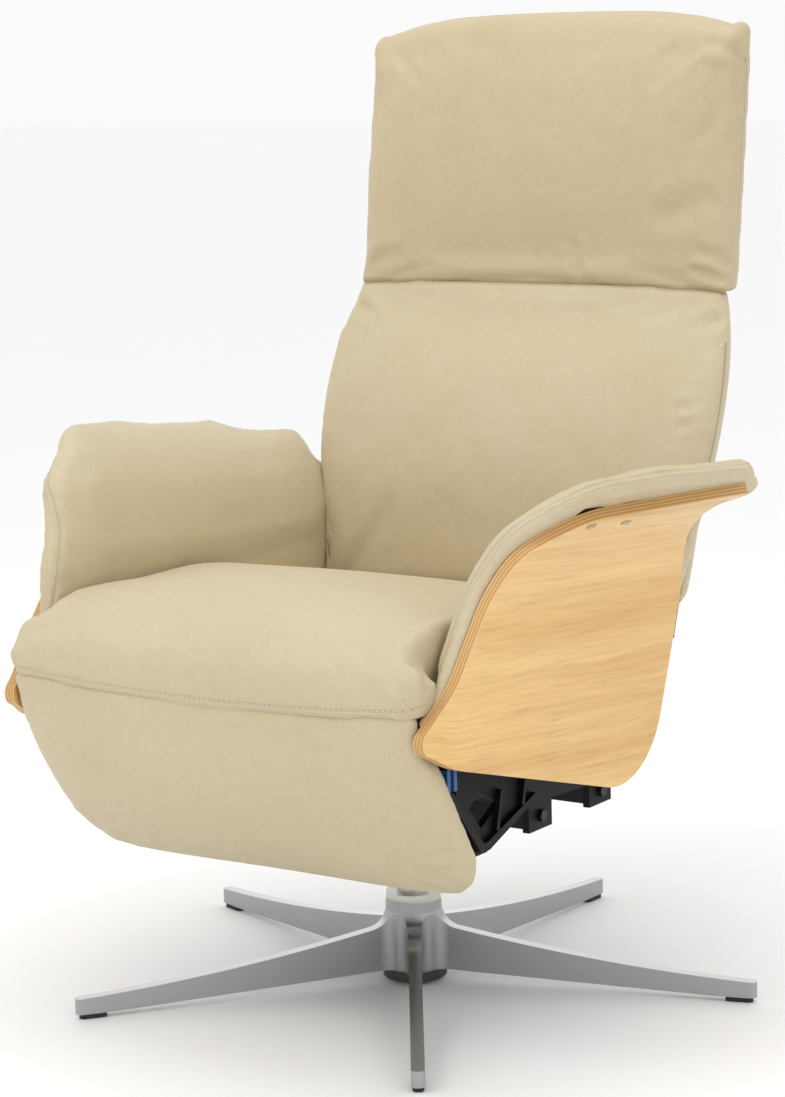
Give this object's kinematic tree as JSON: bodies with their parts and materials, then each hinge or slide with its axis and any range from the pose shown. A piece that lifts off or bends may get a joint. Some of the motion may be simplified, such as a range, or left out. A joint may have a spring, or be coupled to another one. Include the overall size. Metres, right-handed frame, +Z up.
{
  "type": "swivel recliner",
  "caption": "Reclining leather armchair on a polished star base, with bent oak arms, a tilting headrest and a footrest that swings out from under the seat.",
  "frame": {"origin": "on the floor under the swivel axis, in the middle of the chair's outline", "axes": "+Z up, the sitter faces -Y, +X is the sitter's left"},
  "size_m": [0.7382, 0.7949, 1.0568],
  "materials": {
    "polished_aluminium": "polished top edges, satin sides",
    "black_glide": "matt",
    "grey_cap": "matt",
    "bearing_plastic": "smooth",
    "steel": "zinc plated",
    "black_steel": "powder coated",
    "black_plastic": "matt",
    "blue_plastic": "smooth",
    "oak": "oiled oak veneer on bent plywood",
    "plywood": "raw plywood",
    "cream_leather": "smooth grain",
    "button_metal": "satin"
  },
  "bodies": {
    "base": {"star_base": "polished_aluminium", "foot_glides": "black_glide", "hub_bushes": "bearing_plastic", "hub_cap": "grey_cap", "thrust_washer": "bearing_plastic"},
    "carrier": {"swivel_spindle": "steel", "spindle_washer": "steel", "spindle_bolt": "steel", "cross_members": "black_steel", "plate_bolts": "steel", "side_bracket_left": "black_plastic", "side_bracket_right": "black_plastic", "bracket_bolts": "steel", "rail_clips": "blue_plastic", "seat_frame": "black_steel", "arm_screws": "steel", "seat_platform": "plywood", "seat_cushion": "cream_leather", "arm_shell_left": "oak", "arm_shell_right": "oak", "arm_pad_left": "cream_leather", "arm_pad_right": "cream_leather", "switch_bodies": "black_plastic", "back_pins": "steel", "footrest_pins": "steel", "foot_drive": "black_plastic", "back_drive": "black_plastic", "drive_bolts": "steel", "control_box": "black_plastic"},
    "backrest": {"back_cushion": "cream_leather", "back_shell": "cream_leather", "back_frame": "black_steel"},
    "headrest": {"headrest_cushion": "cream_leather", "headrest_shell": "cream_leather", "headrest_frame": "black_steel", "headrest_pins": "steel"},
    "footrest": {"footrest_tube": "black_steel", "footrest_board": "plywood", "footrest_screws": "steel", "footrest_cushion": "cream_leather"},
    "foot_rod": {"foot_rod": "steel"},
    "back_rod": {"back_rod": "steel"},
    "foot_button": {"foot_button": "button_metal"},
    "back_button": {"back_button": "button_metal"}
  },
  "joints": [
    {"name": "swivel", "type": "hinge", "parent": "base", "child": "carrier", "pos_m": [0, 0, 0.1], "axis": [0, 0, 1], "continuous": true},
    {"name": "recline", "type": "hinge", "parent": "carrier", "child": "backrest", "pos_m": [0, 0.178, 0.357], "axis": [-1, 0, 0], "range_deg": [0, 38]},
    {"name": "headrest_tilt", "type": "hinge", "parent": "backrest", "child": "headrest", "pos_m": [0, 0.306, 0.742], "axis": [1, 0, 0], "range_deg": [0, 22]},
    {"name": "footrest_lift", "type": "hinge", "parent": "carrier", "child": "footrest", "pos_m": [0, -0.332, 0.36], "axis": [-1, 0, 0], "range_deg": [0, 100]},
    {"name": "back_rod_slide", "type": "slide", "parent": "carrier", "child": "back_rod", "axis": [0, -1, 0], "range_m": [0, 0.0588]},
    {"name": "foot_rod_slide", "type": "slide", "parent": "carrier", "child": "foot_rod", "axis": [0, -1, 0], "range_m": [0, 0.0796]},
    {"name": "foot_button_press", "type": "slide", "parent": "carrier", "child": "foot_button", "axis": [-0.6561, 0.0658, 0.7518], "range_m": [0, 0.002], "stiffness_N_per_m": 600, "springref_m": -0.002},
    {"name": "back_button_press", "type": "slide", "parent": "carrier", "child": "back_button", "axis": [-0.6561, 0.0658, 0.7518], "range_m": [0, 0.002], "stiffness_N_per_m": 600, "springref_m": -0.002}
  ],
  "couplings": [
    {"joint": "back_rod_slide", "follows": "recline", "m_per_rad": 0.08836},
    {"joint": "foot_rod_slide", "follows": "footrest_lift", "m_per_rad": 0.0455}
  ]
}
